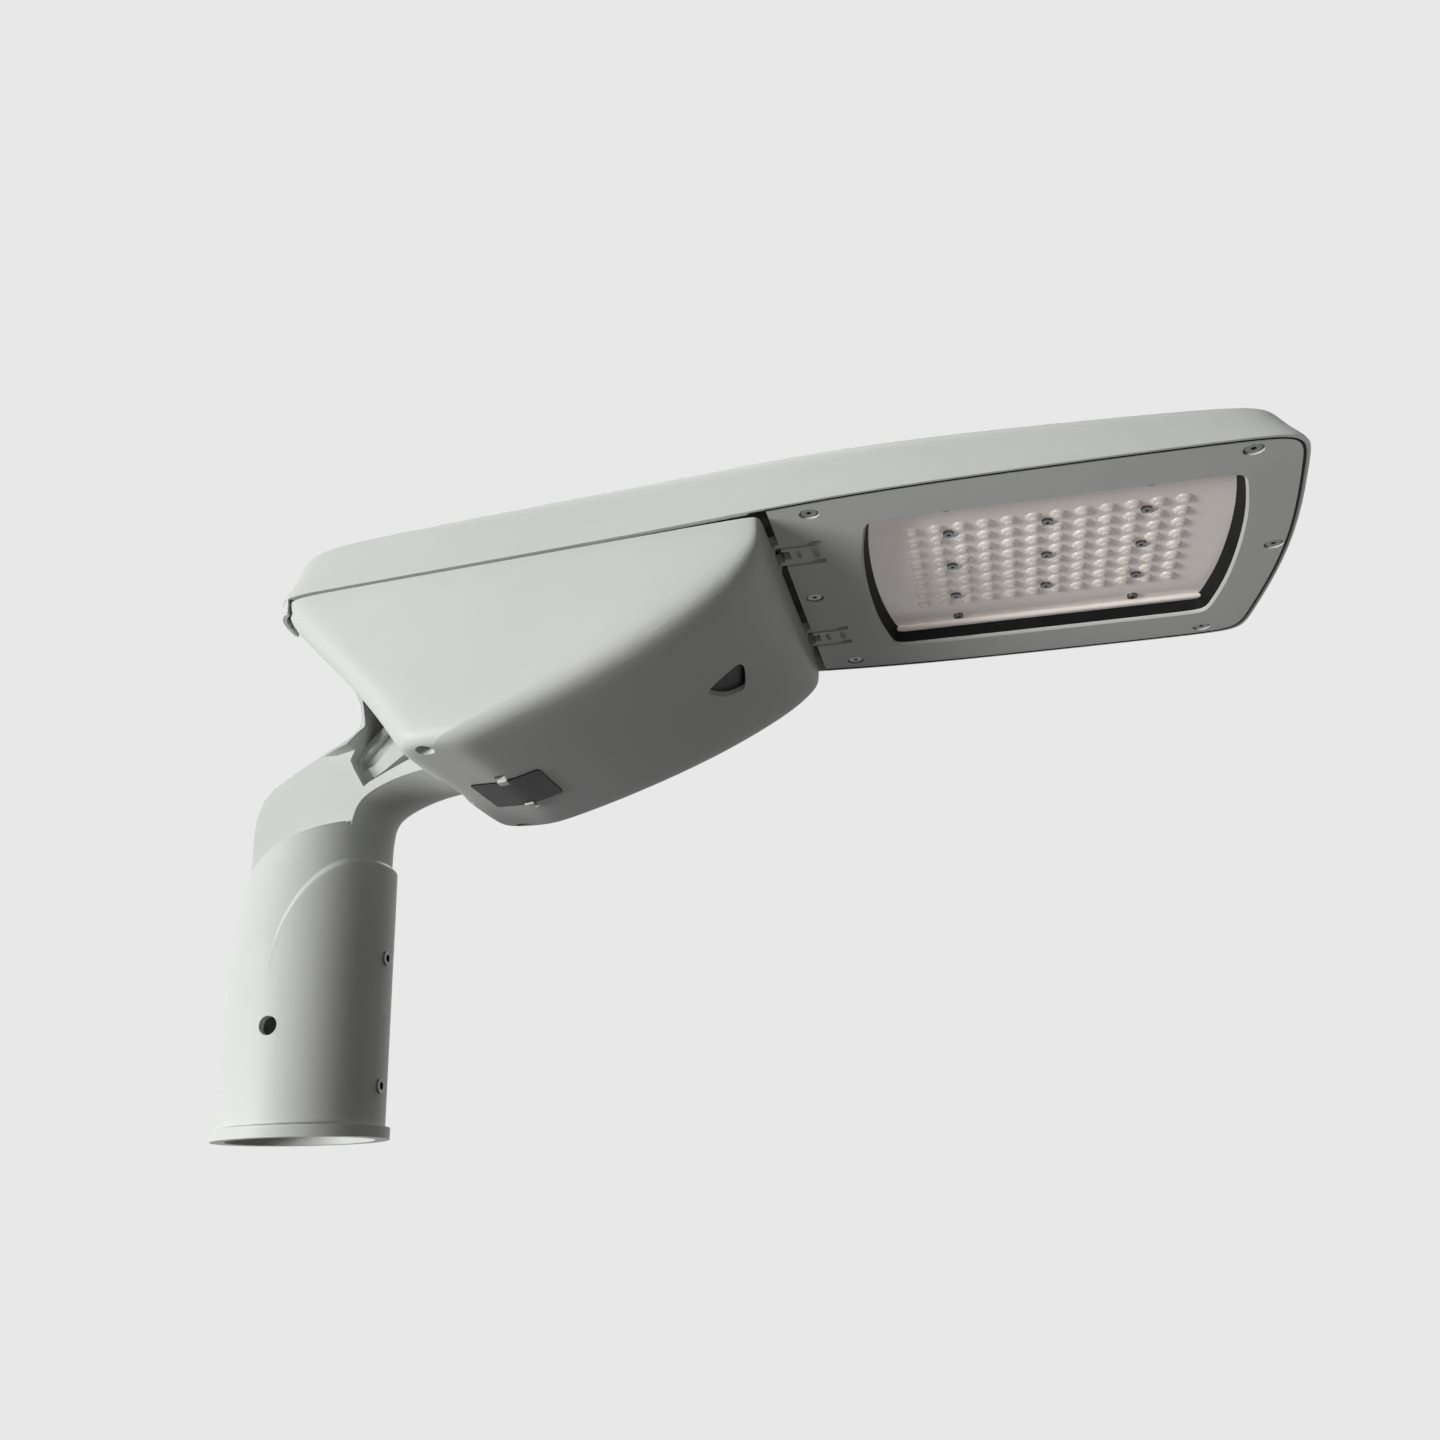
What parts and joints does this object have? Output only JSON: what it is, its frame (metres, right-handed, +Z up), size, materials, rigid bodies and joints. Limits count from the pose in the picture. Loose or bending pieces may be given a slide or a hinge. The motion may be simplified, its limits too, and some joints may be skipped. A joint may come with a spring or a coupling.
{
  "type": "led street light head",
  "caption": "Grey die-cast LED street light head on a side bracket with a pole socket, a lens panel under the front half and a hinged gear cover under the rear half",
  "frame": {"origin": "Centre of the pole socket's mouth, in the plane of the collar's lower edge", "axes": "+X from the socket towards the lamp end, +Y across the head, +Z up along the socket's axis"},
  "size_m": [0.5913, 0.2342, 0.3222],
  "materials": {
    "grey_casting": "satin powder coat",
    "stainless_screws": "plain",
    "black_rubber": "matt",
    "clear_lens": "clear moulded acrylic",
    "white_board": "white solder mask",
    "yellow_phosphor": "soft silicone",
    "bare_aluminium": "mill finish",
    "black_plastic": "matt",
    "white_box": "matt"
  },
  "bodies": {
    "head": {"spigot_bracket": "grey_casting", "set_screws": "stainless_screws", "foot_bolts": "stainless_screws", "foot_washers": "stainless_screws", "top_housing": "grey_casting", "bezel_frame": "grey_casting", "bezel_screws": "stainless_screws", "window_gasket": "black_rubber", "lens_plate": "clear_lens", "panel_screws": "stainless_screws", "led_board": "white_board", "led_chips": "yellow_phosphor", "heat_sink": "bare_aluminium", "sink_screws": "stainless_screws", "hinge_pins": "stainless_screws", "cover_gasket": "black_rubber", "gear_tray": "bare_aluminium", "tray_screws": "stainless_screws", "led_driver": "white_box", "surge_protector": "white_box", "terminal_block": "white_box", "inlet_gland": "black_plastic", "lamp_leads": "black_rubber", "lead_grommet": "black_rubber"},
    "cover": {"gear_cover": "grey_casting", "cavity_plug": "black_plastic", "closing_screws": "stainless_screws", "rating_plate": "black_plastic"}
  },
  "joints": [
    {"name": "gear_cover_hinge", "type": "hinge", "parent": "head", "child": "cover", "pos_m": [0.297, 0, 0.2852], "axis": [0, -1, 0], "range_deg": [0, 85]}
  ]
}
